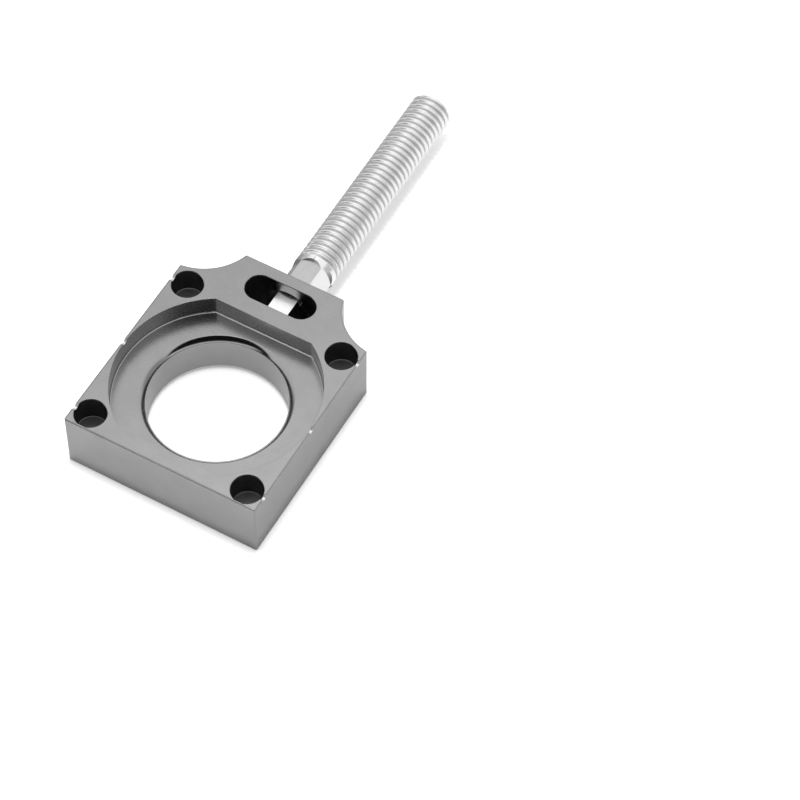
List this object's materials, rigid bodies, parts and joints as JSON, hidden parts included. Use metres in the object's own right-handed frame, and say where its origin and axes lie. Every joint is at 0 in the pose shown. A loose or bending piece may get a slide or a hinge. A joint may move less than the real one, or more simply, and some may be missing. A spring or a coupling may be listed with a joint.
{
  "type": "motorcycle chain adjuster",
  "caption": "Axle block with a bore, a flat-sided recess for the axle's head and a threaded stud that pulls the block along the swing arm.",
  "frame": {"origin": "where the axle bore's line crosses the stud's line, at half the block's thickness", "axes": "+Z along the axle, out of the recessed face; +Y along the stud, towards its tip; +X across the block"},
  "size_m": [0.038, 0.0961, 0.0126],
  "materials": {
    "anodised_aluminium": "fine bead-blasted grey",
    "plated_steel": "bright zinc plate"
  },
  "bodies": {
    "root": {"axle_block": "anodised_aluminium", "adjuster_stud": "plated_steel"}
  },
  "joints": []
}
